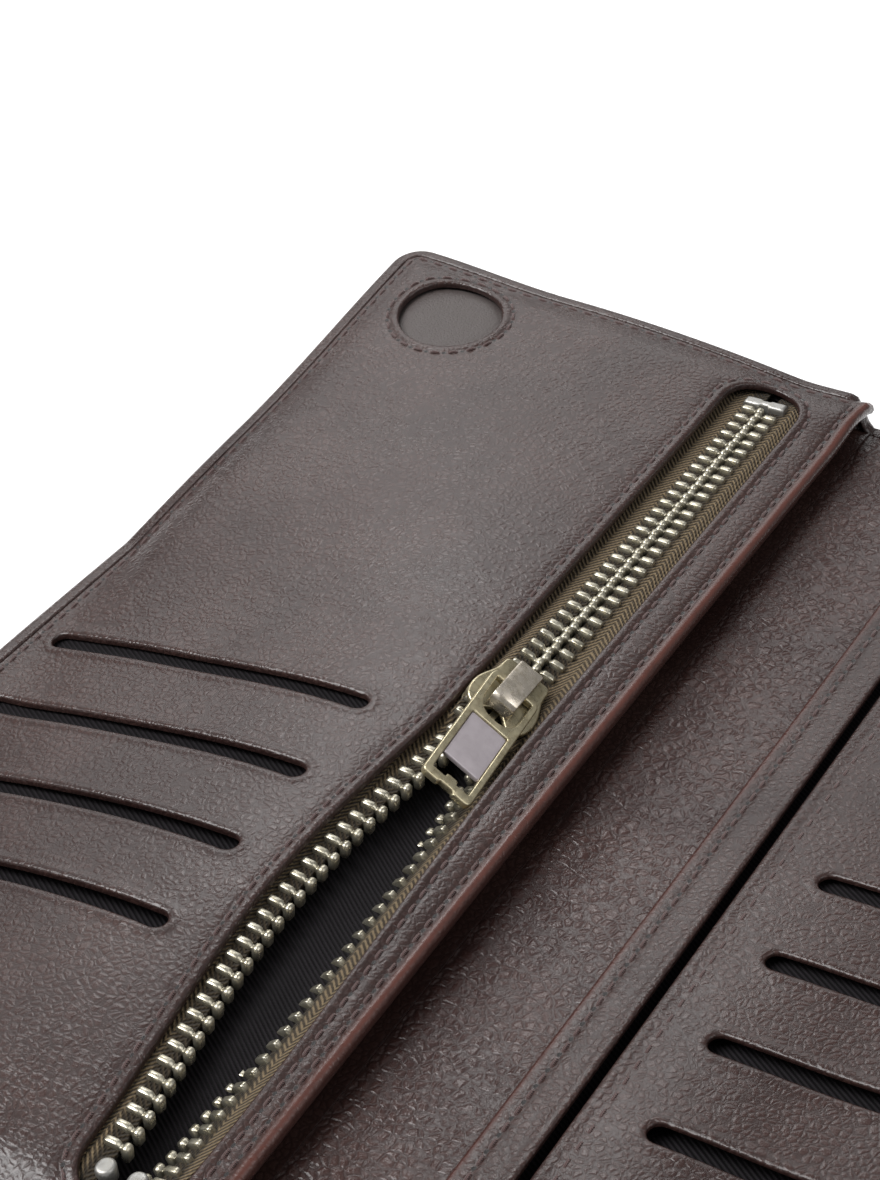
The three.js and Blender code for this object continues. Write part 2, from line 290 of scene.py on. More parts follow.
def flat_mesh(outline, holes=(), step=2.0, rings=(), edge_step=0.9, rows=()):
    """Triangles that fill an outline round its holes, with rows beside every edge and at each x in rows."""
    loops = [turn(resample(outline, edge_step), True)]
    loops += [turn(resample(h, edge_step), False) for h in holes]
    points, edges = [], []
    for loop in loops:
        n, first = len(loop), sum(len(q) for q in points)
        points.append(loop)
        edges += [(first + i, first + (i + 1) % n) for i in range(n)]

    def kept(q, gap):
        ok = inside(q, loops[0])
        for h in loops[1:]:
            ok &= ~inside(q, h)
        q = q[ok]
        for loop in loops:
            q = q[distance(q, loop) > gap]
        return q

    for r in rings:
        for loop in loops:
            points.append(kept(offset(loop, r), 0.93 * r))
    low, high = loops[0].min(0), loops[0].max(0)
    gx, gy = (np.arange(low[i] + step / 2, high[i], step) for i in (0, 1))
    grid = np.stack(np.meshgrid(gx, gy), -1).reshape(-1, 2)
    if len(rows):
        fine = np.stack(np.meshgrid(rows, np.arange(low[1] + 1, high[1], 1.4)), -1).reshape(-1, 2)
        points.append(kept(fine, 0.3))
        grid = grid[(grid[:, 0] < min(rows) - 0.8) | (grid[:, 0] > max(rows) + 0.8)]
    points.append(kept(grid, (max(rings) if rings else 0) + 0.45 * step))
    flat = [Vector(p) for p in np.vstack(points)]
    co, _, tris, *_ = delaunay_2d_cdt(flat, edges, [], 0, 1e-5)
    co = np.array([tuple(c) for c in co])
    tris = np.array([t for t in tris if len(t) == 3])
    middle = co[tris].mean(1)
    keep = inside(middle, loops[0])
    for h in loops[1:]:
        keep &= ~inside(middle, h)
    tris = tris[keep]
    a, b, c = co[tris[:, 0]], co[tris[:, 1]], co[tris[:, 2]]
    cross = (b - a)[:, 0] * (c - a)[:, 1] - (b - a)[:, 1] * (c - a)[:, 0]
    tris = tris[np.abs(cross) > 1e-9]
    cross = cross[np.abs(cross) > 1e-9]
    tris[cross < 0] = tris[cross < 0][:, ::-1]
    used = np.unique(tris)
    new = np.full(len(co), -1)
    new[used] = np.arange(len(used))
    return co[used], new[tris], loops


def skin(top, bottom, tris):
    """A closed solid from the same triangles placed twice, joined round every edge."""
    n = len(top)
    directed = {(t[i], t[(i + 1) % 3]) for t in tris.tolist() for i in range(3)}
    faces = tris.tolist() + (tris[:, ::-1] + n).tolist()
    faces += [[b, a, a + n, b + n] for a, b in directed if (b, a) not in directed]
    return np.vstack([top, bottom]), faces


def slab(p, tris, top, low):
    """A closed sheet over a flat mesh, between two heights."""
    return skin(np.column_stack([p, top]), np.column_stack([p, low]), tris)


def loft(rings):
    """A tube through rings of points, capped at its ends."""
    r = np.asarray(rings, float)
    n, m = r.shape[:2]
    faces = []
    for i in range(0, (n - 1) * m, m):
        j = i + m
        faces += [[i + k, i + (k + 1) % m, j + (k + 1) % m, j + k] for k in range(m)]
    faces += [list(range(m))[::-1], list(range((n - 1) * m, n * m))]
    return r.reshape(-1, 3), faces


def joined(parts):
    """Several (points, faces) as one."""
    points, faces, n = [], [], 0
    for p, f in parts:
        points.append(p)
        faces += [[v + n for v in q] for q in f]
        n += len(p)
    return np.vstack(points), faces


def make(name, body, slot, material, points, faces, stands_for=(), wear_and_painted_light=None, sharp=50):
    """A mesh object of one closed shell or more, riding on a body."""
    mesh = bpy.data.meshes.new(name)
    mesh.from_pydata((np.asarray(points) * MM).tolist(), [], faces)
    mesh.validate()
    mesh.update()
    mesh.shade_smooth()
    mesh.set_sharp_from_angle(angle=math.radians(sharp))
    # This channel marks rubbed edges and patina, and also painted highlights and painted shade on some
    # parts.
    if wear_and_painted_light is not None:
        mesh.attributes.new("wear_and_painted_light", "FLOAT", "POINT").data.foreach_set("value", wear_and_painted_light.astype(np.float32))
    obj = add(name, mesh)
    mesh.materials.append(material)
    if body:
        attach(obj, body)
    if stands_for:
        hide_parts(*stands_for)
    return obj


# ---- outlines ----
def half_outline(side, inner, inset):
    """A sheet of one half, from x = inner to the outer edge less an inset."""
    out, y, r = OUTER - inset, HALF_LENGTH - inset, max(CORNER - inset, 1)
    turns = [(out - r, -y + r, -90), (out - r, y - r, 0)]
    corners = []
    for cx, cy, start in turns:
        a = np.radians(start + np.arange(0, 91, 10))
        corners.append(np.stack([cx + r * np.cos(a), cy + r * np.sin(a)], 1))
    straight = np.linspace(corners[0][-1], corners[1][0], 40)[1:-1]
    p = np.vstack([[(inner, -y)], corners[0], straight, corners[1], [(inner, y)]])
    p[:, 0] *= side
    p[:, 0] += pulled_in(p[:, 0], p[:, 1])
    return p


def obround(cx, cy, length, width, along_x=True):
    """A slot's outline: straight sides and round ends."""
    r, h = width / 2, length / 2 - width / 2
    pts = []
    for sign in (1, -1):
        for a in np.radians(np.arange(-90, 91, 18)):
            pts.append((sign * (h + r * math.cos(a)), sign * r * math.sin(a)))
    p = np.array(pts) if along_x else np.array([(-b, a) for a, b in pts])
    return p + (cx, cy)


def circle(cx, cy, r, n=72):
    a = np.linspace(0, 2 * np.pi, n, endpoint=False)
    return np.stack([cx + r * np.cos(a), cy + r * np.sin(a)], 1)


def box_outline(x0, x1, y0, y1):
    return np.array([(x0, y0), (x1, y0), (x1, y1), (x0, y1)])


def window_outline(grow=0.0):
    """The zip window: round ends, and a border that bows out beside the open stretch."""
    straight = WINDOW_END - WINDOW
    ys = np.linspace(-straight, straight, 120)
    ends = np.radians(np.arange(9, 180, 9))
    pts = [(ZIP_X + sway(y) + window_edge(y, 1) + grow, y) for y in ys]
    pts += [(ZIP_X + (WINDOW + grow) * math.cos(a), straight + (WINDOW + grow) * math.sin(a)) for a in ends]
    pts += [(ZIP_X + sway(y) - window_edge(y, -1) - grow, y) for y in ys[::-1]]
    near = ZIP_X + sway(-straight)
    pts += [(near - (WINDOW + grow) * math.cos(a), -straight - (WINDOW + grow) * math.sin(a)) for a in ends]
    return np.array(pts)


# ---- materials ----
class Nodes:
    """A short way to wire a material's nodes."""

    def __init__(self, name):
        self.material = bpy.data.materials.new(name)
        self.material.use_nodes = True
        self.tree = self.material.node_tree
        self.shader = self.tree.nodes["Principled BSDF"]
        coords = self.tree.nodes.new("ShaderNodeTexCoord")
        self.place = self.vector("MULTIPLY", coords.outputs["Object"], (1000, 1000, 1000))

    def wire(self, socket, value):
        if isinstance(value, bpy.types.NodeSocket):
            self.tree.links.new(value, socket)
        else:
            socket.default_value = value

    def node(self, kind, **inputs):
        n = self.tree.nodes.new(kind)
        for key, value in inputs.items():
            self.wire(n.inputs[key.replace("_", " ")], value)
        return n

    def math(self, operation, a, b=0.0, c=0.0):
        n = self.tree.nodes.new("ShaderNodeMath")
        n.operation = operation
        for socket, value in zip(n.inputs, (a, b, c)):
            self.wire(socket, value)
        return n.outputs[0]

    def times_add(self, a, b, c):
        """a times b, plus c."""
        return self.math("MULTIPLY_ADD", a, b, c)

    def wave(self, along, pitch):
        """Ribs, one every pitch millimetres."""
        return self.math("SINE", self.math("MULTIPLY", along, 2 * math.pi / pitch))

    def vector(self, operation, a, b):
        n = self.tree.nodes.new("ShaderNodeVectorMath")
        n.operation = operation
        self.wire(n.inputs[0], a)
        self.wire(n.inputs[1], b)
        return n.outputs[0]

    def axis(self, name):
        n = self.node("ShaderNodeSeparateXYZ", Vector=self.place)
        return n.outputs[name]

    def noise(self, scale, detail=3.0, rough=0.55, place=None):
        """Noise with features of about 1/scale millimetres."""
        n = self.node("ShaderNodeTexNoise", Scale=scale, Detail=detail, Roughness=rough)
        self.wire(n.inputs["Vector"], place or self.place)
        return n.outputs["Fac"]

    def cells(self, scale, place):
        n = self.node("ShaderNodeTexVoronoi", Scale=scale, Randomness=0.95)
        n.feature = "DISTANCE_TO_EDGE"
        self.wire(n.inputs["Vector"], place)
        return n.outputs["Distance"]

    def span(self, value, low, high, to_low=0.0, to_high=1.0):
        n = self.tree.nodes.new("ShaderNodeMapRange")
        n.interpolation_type = "SMOOTHSTEP"
        for socket, v in zip(n.inputs, (value, low, high, to_low, to_high)):
            self.wire(socket, v)
        return n.outputs[0]

    def mix(self, factor, a, b):
        n = self.tree.nodes.new("ShaderNodeMix")
        n.data_type = "RGBA"
        self.wire(n.inputs[0], factor)
        self.wire(n.inputs[6], (*a, 1) if isinstance(a, tuple) else a)
        self.wire(n.inputs[7], (*b, 1) if isinstance(b, tuple) else b)
        return n.outputs[2]

    def attribute(self, name):
        n = self.tree.nodes.new("ShaderNodeAttribute")
        n.attribute_name = name
        return n.outputs["Fac"]

    def finish(self, color, roughness, height=None, depth=0.1, strength=1.0, **settings):
        s = self.shader
        self.wire(s.inputs["Base Color"], color if not isinstance(color, tuple) else (*color, 1))
        self.wire(s.inputs["Roughness"], roughness)
        if height is not None:
            bump = self.node("ShaderNodeBump", Strength=strength, Distance=depth * MM, Height=height)
            self.wire(s.inputs["Normal"], bump.outputs[0])
        for key, value in settings.items():
            s.inputs[key.replace("_", " ")].default_value = value
        return self.material


def leather(name, dark, light, worn_and_highlight, grain=0.95, depth=0.042, shine=0.45):
    """Pebbled cowhide: cells about a millimetre across, creases, soft blotches, and rubbed edges whose
    lighter, redder colour also paints the highlight on the panels' rolled free edges.
    """
    m = Nodes(name)
    drift = m.node("ShaderNodeTexNoise", Scale=0.35, Detail=2.0)
    m.wire(drift.inputs["Vector"], m.place)
    shifted = m.vector("ADD", m.place, m.vector("MULTIPLY", drift.outputs["Color"], (1.6, 1.6, 1.6)))
    pebble = m.span(m.cells(grain, shifted), 0.0, 0.34)
    small = m.span(m.cells(grain * 2.3, shifted), 0.0, 0.3)
    fine = m.noise(7, 4)
    crease = m.span(m.noise(0.22, 5, 0.62), 0.44, 0.5, 0.0, 1.0)
    height = m.times_add(small, 0.2, pebble)
    height = m.times_add(crease, 0.1, height)
    height = m.math("MULTIPLY", height, m.times_add(m.attribute("wear_and_painted_light"), -0.8, 1.0))
    height = m.times_add(m.noise(0.12, 2), 6.0, height)
    blotch = m.span(m.noise(0.05, 4), 0.35, 0.65)
    color = m.mix(blotch, dark, light)
    # The valleys between the pebbles are painted darker: painted shade in the grain.
    valley_shade = tuple(c * 0.5 for c in dark)
    color = m.mix(m.span(pebble, 0.0, 0.5, 0.55, 0.0), color, valley_shade)
    # Lighter and redder where the mesh marks it: real rubbing on the covers' edges, rubbing plus a painted
    # highlight on the panels' rolled free edges.
    rub_and_highlight = m.math("MULTIPLY", m.attribute("wear_and_painted_light"), m.span(m.noise(0.6, 4), 0.25, 0.6, 0.65, 1.0))
    color = m.mix(rub_and_highlight, color, worn_and_highlight)
    rough = m.times_add(fine, 0.10, 0.29)
    rough = m.times_add(pebble, -0.05, rough)
    rough = m.times_add(m.span(m.noise(0.035, 3), 0.35, 0.65), -0.06, rough)
    return m.finish(color, rough, height, depth, 1.0, Specular_IOR_Level=shine, Coat_Weight=0.1,
                    Coat_Roughness=0.25)


def smooth_leather(name, dark, light):
    """The thin, pressed leather over a magnet."""
    m = Nodes(name)
    color = m.mix(m.noise(0.3, 4), dark, light)
    height = m.times_add(m.noise(9, 3), 0.5, m.span(m.cells(1.5, m.place), 0, 0.3))
    return m.finish(color, m.times_add(m.noise(3), 0.15, 0.4), height, 0.05, 0.6,
                    Specular_IOR_Level=0.5, Sheen_Weight=0.1)


def twill(name, dark, light, pitch=0.62):
    """Nylon twill: fine diagonal ribs crossed by the yarns."""
    m = Nodes(name)
    x, y = m.axis("X"), m.axis("Y")
    along = m.math("ADD", m.math("MULTIPLY", x, 0.55), m.math("MULTIPLY", y, 0.84))
    rib = m.wave(along, pitch)
    yarn = m.wave(m.math("SUBTRACT", y, x), 0.33)
    height = m.times_add(yarn, 0.25, rib)
    height = m.times_add(m.noise(5), 0.4, height)
    color = m.mix(m.span(rib, -0.6, 0.9), dark, light)
    color = m.mix(m.span(m.noise(0.15, 3), 0.4, 0.7, 0.0, 0.35), color, dark)
    return m.finish(color, 0.7, height, 0.07, 0.9, Sheen_Weight=0.02, Sheen_Roughness=0.35,
                    Specular_IOR_Level=0.14)


def herringbone(name):
    """Cotton zip tape: chevrons 2 mm wide in olive and brown yarn."""
    m = Nodes(name)
    x, y = m.axis("X"), m.axis("Y")
    wobble = m.math("MULTIPLY", m.noise(0.8, 2), 0.5)
    zigzag = m.math("PINGPONG", x, 2.0)
    along = m.math("ADD", m.times_add(zigzag, 1.15, y), wobble)
    rib = m.wave(along, 0.95)
    yarn = m.wave(x, 0.4)
    height = m.times_add(yarn, 0.35, rib)
    height = m.times_add(m.noise(8), 0.5, height)
    color = m.mix(m.span(rib, -0.7, 0.7), (0.022, 0.015, 0.009), (0.17, 0.125, 0.072))
    color = m.mix(m.span(m.noise(2.5, 3), 0.35, 0.7, 0.0, 0.5), color, (0.09, 0.068, 0.042))
    # Near-black where the mesh marks it: painted shade on the tape under and between the teeth.
    color = m.mix(m.math("MULTIPLY", m.attribute("wear_and_painted_light"), 0.85), color, (0.012, 0.009, 0.006))
    return m.finish(color, 0.85, height, 0.13, 1.0, Sheen_Weight=0.05, Sheen_Roughness=0.5,
                    Specular_IOR_Level=0.15)


def metal(name, base, stain_and_shade, rough=0.26, scratch=0.02, metallic=1.0):
    """Plated metal with a darker antique patina in its low places, a painted shadow where a mesh marks one,
    small pits and hairlines.
    """
    m = Nodes(name)
    cloud = m.span(m.noise(0.7, 5, 0.6), 0.38, 0.62)
    color = m.mix(m.span(m.noise(1.1, 5), 0.4, 0.75, 0.0, 0.6), base, stain_and_shade)
    # Darker where the mesh marks it: patina in the teeth's necks and undersides, and a painted shadow on
    # the middle of the slider's top.
    color = m.mix(m.math("MULTIPLY", m.attribute("wear_and_painted_light"), 0.85), color, tuple(0.22 * c for c in stain_and_shade))
    hair = m.vector("MULTIPLY", m.place, (9, 0.6, 9))
    height = m.times_add(m.noise(1.0, 3, 0.5, hair), 0.6, m.noise(6, 4))
    rough = m.times_add(cloud, 0.14, rough)
    return m.finish(color, rough, height, scratch, 0.4, Metallic=metallic)


def thread(name, color, dark):
    """Waxed sewing thread with a slanting twist."""
    m = Nodes(name)
    across = m.math("ADD", m.math("ADD", m.axis("X"), m.axis("Y")), m.math("MULTIPLY", m.axis("Z"), 1.4))
    twist = m.wave(across, 0.3)
    return m.finish(m.mix(m.span(twist, -0.8, 0.6), dark, color), 0.5, twist, 0.05, 0.8, Sheen_Weight=0.2)


def pale_paper(name):
    """Near-white paper, a little cloudy."""
    m = Nodes(name)
    color = m.mix(m.noise(0.02, 2), (0.86, 0.86, 0.86), (0.9, 0.9, 0.9))
    return m.finish(color, 0.9, m.noise(2), 0.02, 0.2)


LEATHER = leather("leather", (0.026, 0.0125, 0.0108), (0.041, 0.0215, 0.0185), (0.080, 0.027, 0.020))
# The same leather as the left half's, made darker and duller: painted shade over the right panel.
SHADED_RIGHT_LEATHER = leather("right_leather_painted_shade", (0.023, 0.011, 0.0095), (0.036, 0.0185, 0.016),
                        (0.075, 0.025, 0.019), shine=0.34)
PANEL_LEATHER = {-1: LEATHER, 1: SHADED_RIGHT_LEATHER}
GUTTER = leather("gutter_leather", (0.027, 0.0122, 0.0108), (0.042, 0.021, 0.018), (0.08, 0.03, 0.025),
                 grain=0.7, depth=0.11, shine=0.37)
PRESSED = smooth_leather("pressed_leather", (0.032, 0.023, 0.021), (0.046, 0.035, 0.032))
LINING = twill("lining", (0.002, 0.0016, 0.002), (0.009, 0.007, 0.009))
TAPE = herringbone("zip_tape")
TOOTH = metal("zip_teeth", (0.52, 0.49, 0.40), (0.28, 0.24, 0.15), 0.25, 0.01, 0.88)
BRASS = metal("antique_brass", (0.56, 0.50, 0.34), (0.33, 0.27, 0.16), 0.26, 0.008, 0.88)
STOP_METAL = metal("stop_metal", (0.33, 0.325, 0.31), (0.28, 0.26, 0.22), 0.34, 0.02, 0.8)
BRIDGE = metal("bridge_metal", (0.62, 0.56, 0.48), (0.36, 0.31, 0.22), 0.2, 0.012, 0.85)
PLATE = metal("pull_plate", (0.40, 0.36, 0.38), (0.34, 0.30, 0.32), 0.3, 0.008, 0.35)
MAGNET = metal("magnet", (0.55, 0.55, 0.57), (0.35, 0.35, 0.38), 0.3)
THREAD = thread("thread", (0.085, 0.040, 0.036), (0.030, 0.014, 0.013))
# Near-black plugs in the needle holes: painted shade.
HOLE_SHADE = thread("needle_hole_shade", (0.008, 0.005, 0.005), (0.004, 0.003, 0.003))


# ---- leather panels ----
STITCH_IN = {"window": 1.7, "rim": 3.9, "magnet": 1.9, "free": 2.4, "slit": 3.5}
ROLL = {-1: 1.15, 1: 0.78}  # radius of the folded free edge
HEM = 3.2  # how far the leather runs back under the panel
FOLDED = math.radians(172)  # how far round the edge is folded


def rounding(d, r):
    """How far an edge of radius r falls at a distance d inside it."""
    t = np.clip(1 - d / r, 0, 1)
    return r * (1 - np.sqrt(1 - t * t))


def groove(d):
    """How far the leather sinks at a distance d from a seam."""
    return -0.16 * np.exp(-(d / 0.45) ** 2)


def stitch_lines(side):
    """Name, line and closedness of every seam on a panel, as lines in the plane."""
    s, e = side, STITCH_IN
    inset = e["rim"]
    rim = half_outline(s, FREE_EDGE + e["free"] + 0.4, inset)
    y = HALF_LENGTH - inset
    free = np.array([(s * (FREE_EDGE + e["free"]), -y + 0.5), (s * (FREE_EDGE + e["free"]), y - 0.5)])
    lines = [("rim", rim, False), ("free_edge", free, False),
             ("magnet", circle(s * MAGNET_X, MAGNET_Y, MAGNET_HOLE + e["magnet"]), True)]
    if side < 0:
        lines.append(("window", window_outline(e["window"]), True))
    else:
        x = SLIT_X + e["slit"]
        lines.append(("slit", np.array([(x, -y + 1), (x, y - 1)]), False))
    return [(n, resample(p, 0.8, c), c) for n, p, c in lines]


def panel_place(side, loops):
    """Functions that place the flat panel's top and under skins in space."""
    holes = loops[1:]
    seams = stitch_lines(side)
    r = ROLL[side]
    turn_at = FREE_EDGE + r  # the roll starts here, going towards the spine

    def place(p, depth):
        x, y = np.abs(p[:, 0]), p[:, 1]
        past = np.maximum(turn_at - x, 0)
        angle = np.minimum(past / r, FOLDED)
        run = np.maximum(past - r * FOLDED, 0)
        xs = side * np.maximum(x, turn_at)
        z = TOPS[side](xs, y)
        for _, line, closed in seams:
            z = z + groove(distance(p, line, closed))
        for loop in holes:
            d = distance(p, loop)
            z = z - rounding(d, 0.3) * (depth == 0)
            z = z + 0.14 * np.exp(-((d - 0.85) / 0.5) ** 2)
        z = z - 0.55 * (1 - smooth((rim_distance(np.maximum(x, turn_at), y) - 1.4) / 1.6))
        z = z + (0.4 if side < 0 else 0.1) * np.exp(-((np.maximum(x, turn_at) - turn_at) / 0.6) ** 2)
        nx, nz = np.sin(angle), np.cos(angle)
        X = turn_at - r * nx - run * math.cos(FOLDED) + depth * nx
        Z = z - r * (1 - nz) - run * math.sin(FOLDED) - depth * nz
        X = np.where(past > 0, X, x)
        return np.stack([side * X, y, Z], 1)

    # Where the rolled free edge is lighter and redder: rubbing, with a painted highlight on the upper side
    # of the roll, where the light catches it.
    def wear_and_painted_light(p):
        past = turn_at - np.abs(p[:, 0])
        w = np.exp(-((past - 0.35 * r) / (0.6 * r)) ** 2)
        return np.maximum(w, 0.4 * smooth(past / (0.3 * r)))

    return place, wear_and_painted_light


def make_panel(side):
    name = NAMES[side]
    inner = FREE_EDGE + ROLL[side] - ROLL[side] * FOLDED - HEM
    outline = half_outline(side, inner, 1.5)
    slot_x = LEFT_SLOT_X if side < 0 else RIGHT_SLOT_X
    holes = [obround(slot_x, y, SLOT, SLOT_WIDTH) for y in SLOT_YS]
    holes.append(circle(side * MAGNET_X, MAGNET_Y, MAGNET_HOLE))
    if side < 0:
        holes.append(window_outline())
    else:
        holes.append(obround(SLIT_X, 0, 2 * SLIT_END, SLIT_WIDTH, False))
    rings = (0.12, 0.3, 0.55, 0.95, 1.35, 1.75, 2.2)
    rolled_rows = side * np.arange(inner + 2.5, FREE_EDGE + 4.6, 0.36)
    p, tris, loops = flat_mesh(outline, holes, 1.9, rings, 0.8, rolled_rows)
    place, wear_and_painted_light = panel_place(side, loops)
    points, faces = skin(place(p, 0), place(p, LEATHER_THICK[side]), tris)
    w = wear_and_painted_light(p)
    # The right half's thinner fold gets half of that band: a weaker painted highlight.
    w = w if side < 0 else 0.5 * w
    make(f"{name}_panel_leather", f"{name}_half", "leather", PANEL_LEATHER[side], points, faces,
         [f"{name}_panel"], np.concatenate([w, w]), 55)


# ---- seams ----
def stitches(line, closed, pitch, lift):
    """Threads along a line, each going down into the leather at both ends, and near-black plugs in the
    needle holes as painted shade.
    """
    q = np.vstack([line, line[:1]]) if closed else line
    steps = np.hypot(*(q[1:] - q[:-1]).T)
    along = np.concatenate([[0], np.cumsum(steps)])
    count = max(1, int(along[-1] / pitch))
    pitch = along[-1] / count
    length, radius = pitch * 0.70, 0.27
    threads, holes = [], []
    for i in range(count):
        mid = (i + 0.5) * pitch
        rings = []
        for t in np.linspace(-1, 1, 7):
            at = mid + t * length / 2
            x, y = (np.interp(at, along, q[:, k]) for k in (0, 1))
            ax, ay = (np.diff(np.interp((at - 0.1, at + 0.1), along, q[:, k]))[0] for k in (0, 1))
            n = math.hypot(ax, ay) or 1
            sx, sy = -ay / n, ax / n
            z = lift(x, y) + 0.12 - 0.5 * t ** 4
            around = np.linspace(0, 2 * np.pi, 7)[:-1]
            side, rise = radius * np.cos(around), 0.8 * radius * np.sin(around)
            rings.append(np.column_stack([x + sx * side, y + sy * side, z + rise]))
        threads.append(loft(rings))
        # Each needle hole gets a small near-black plug at the surface: painted shade in the hole.
        at = i * pitch if closed or i else 0.02
        x, y = (float(np.interp(at, along, q[:, k])) for k in (0, 1))
        z = lift(x, y)
        rings = [np.column_stack([circle(x, y, r, 8), np.full(8, z + h)])
                 for r, h in ((0.36, -0.5), (0.40, 0.0), (0.2, 0.05))]
        holes.append(loft(rings))
    return joined(threads), joined(holes)


def make_seams(side):
    name = NAMES[side]
    body = f"{name}_half"

    def lift(x, y):
        return float(TOPS[side](np.float64(x), np.float64(y))) - 0.13

    for seam, line, closed in stitch_lines(side):
        threads, holes = stitches(line, closed, 2.9, lift)
        make(f"{name}_{seam}_stitches", body, "leather", THREAD, *threads)
        make(f"{name}_{seam}_needle_hole_shades", body, "leather", HOLE_SHADE, *holes)


# ---- covers ----
SPINE_RIM = 2.7  # height and thickness of the turned edge across the spine
TURNED = 4.6  # how far in the turned leather reaches
LAP = 2.95  # how far in its upper edge lies


def from_spine(x, across, along):
    """One value across the spine and another along a half."""
    half = smooth((np.abs(x) - 9.9) / 3.6)
    return across * (1 - half) + along * half


def rim_height(x, y, side):
    """Top of the turned edge: over the panel along a half, low across the spine."""
    return from_spine(x, SPINE_RIM, TOPS[side](x, y) + 0.28)


def make_cover(side):
    """Outer leather of one half and half of the spine, with the edge turned over the panel."""
    name = NAMES[side]
    outline = half_outline(side, 0.0, 1.2)
    p, tris, _ = flat_mesh(outline, (), 3.0, (0.5, 1.2, 2.2), 0.8)
    x, y = p[:, 0], p[:, 1]
    low = underside(x, y, side)
    sheet = slab(p, tris, low + 1.25, low)

    path = resample(half_outline(side, 0.0, 0.0), 1.0, False)
    ahead = np.gradient(path, axis=0)
    ahead /= np.hypot(*ahead.T)[:, None]
    inward = np.stack([-ahead[:, 1], ahead[:, 0]], 1) * side
    rings = []
    for q, n in zip(path, inward):
        on_rim = q + n * 1.6
        top = float(rim_height(*on_rim, side))
        bottom = max(top - float(from_spine(on_rim[0], SPINE_RIM, RIM)), 0.0)
        r = (top - bottom) / 2
        middle = (top + bottom) / 2
        depth = min(r, 1.9)
        sole = float(underside(*(q + n * TURNED), side))
        profile = [(TURNED, sole), (3.0, (sole + bottom) / 2)]
        for a in np.radians(np.arange(-90, 91, 15)):
            profile.append((depth - depth * math.cos(a), middle + r * math.sin(a)))
        over = float(rim_height(*(q + n * 2.7), side))
        profile += [(2.3, (top + over) / 2 + 0.04), (2.75, over - 0.02), (LAP, over - 0.22)]
        profile += [(LAP, over - 0.6), (2.2, top - 0.85), (1.25, middle + 0.35 * r)]
        profile += [(1.15, middle - 0.3 * r), (1.8, bottom + 0.8)]
        profile += [(3.0, (sole + bottom) / 2 + 0.8), (TURNED, sole + 0.9)]
        rings.append([(q[0] + n[0] * a, q[1] + n[1] * a, z) for a, z in profile])
    rings = np.array(rings)
    if side < 0:
        rings = rings[::-1]
    edge = loft(rings)
    points, faces = joined([sheet, edge])
    wear_and_painted_light = np.zeros(len(points))
    m = rings.shape[1]
    ring_wear = np.zeros(m)
    ring_wear[5:13] = [0.1, 0.22, 0.35, 0.42, 0.35, 0.25, 0.15, 0.1]
    wear_and_painted_light[len(sheet[0]):] = np.tile(ring_wear, len(rings))
    obj = make(f"{name}_cover_leather", None, "leather", LEATHER, points, faces,
               [f"{name}_cover"] + (["spine_cover"] if side < 0 else []), wear_and_painted_light, 60)
    blend_fold(obj)


def blend_fold(obj):
    """Bakes a piece's placement into its mesh."""
    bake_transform(obj)


def make_gutter(side):
    """Leather that lines the spine and runs on under a panel."""
    y = HALF_LENGTH - 2.2
    outline = box_outline(*sorted((0.0, side * 17.5)), -y, y)
    p, tris, _ = flat_mesh(outline, (), 0.8, (0.4,), 0.8)

    def height(x, y):
        a = np.abs(x)
        z = 1.72 + 0.75 * smooth((a - 1) / 9) - 0.35 * smooth((a - 11.5) / 5)
        return z + 0.10 * np.sin(y / 17 + 0.9) * smooth(a / 6) * (1 - smooth((a - 9) / 5))

    top = height(p[:, 0], p[:, 1])
    obj = make(f"{NAMES[side]}_gutter_leather", None, "gutter_leather", GUTTER,
               *slab(p, tris, top, top - 0.42),
               ["spine_lining"] if side < 0 else [], sharp=60)
    blend_fold(obj)


# ---- inner sheets ----
def squeezed(x, y, side, z):
    """Height of a CAD level inside a half, once the half takes its real, uneven thickness."""
    top = PANEL_TOP if side < 0 else node_box("right_panel")[1][2]
    low = underside(x, y, side) + 1.3
    high = TOPS[side](x, y) - PANEL - 0.6 * (1 - smooth((rim_distance(x, y) - 2) / 2)) - 0.15
    return low + (high - low) * (z - BASE) / (top - PANEL - BASE)


def inner_sheet(node, side, outline, material, slot, thick, holes=(), step=4.0,
                sag=None):
    """A lining, pocket or wall that lies between the cover and the panel."""
    low, high = node_box(node)
    level = (low[2] + high[2]) / 2
    p, tris, _ = flat_mesh(outline, holes, step, (), 2.0)
    z = squeezed(p[:, 0], p[:, 1], side, level)
    if sag is not None:
        z = z + sag(p[:, 0], p[:, 1])
    half = thick / 2
    obj = make(f"{node}_sheet", f"{NAMES[side]}_half", slot, material,
               *slab(p, tris, z + half, z - half), [node], sharp=60)
    return obj


def make_inner(side):
    name = NAMES[side]
    inset, start = 2.4, 17.8  # the lining starts where the gutter's leather ends
    wide = half_outline(side, FREE_EDGE + 0.1, inset)
    lining = half_outline(side, start, inset)
    inner_sheet(f"{name}_bill_lining", side, lining, LINING, "lining", 0.14)
    inner_sheet(f"{name}_pocket_back", side, wide, LEATHER, "leather", 0.4)
    slot_x = LEFT_SLOT_X if side < 0 else RIGHT_SLOT_X
    for k, y in enumerate(SLOT_YS):
        y0 = y - SLOT_WIDTH / 2 - 1
        half, depth = SLOT / 2 + 1, POCKET + 3.4
        outline = box_outline(slot_x - half, slot_x + half, y0, y0 + depth)
        inner_sheet(f"{name}_card_pocket_{k + 1}", side, outline, LINING, "lining", 0.1, step=2.5)


def make_slip_lining():
    x0, x1, y = SLIT_X - 4.3, SLIT_X + 49.7, 88
    inner_sheet("right_slip_lining", 1, box_outline(x0, x1, -y, y), LINING, "lining", 0.1, step=2.5)


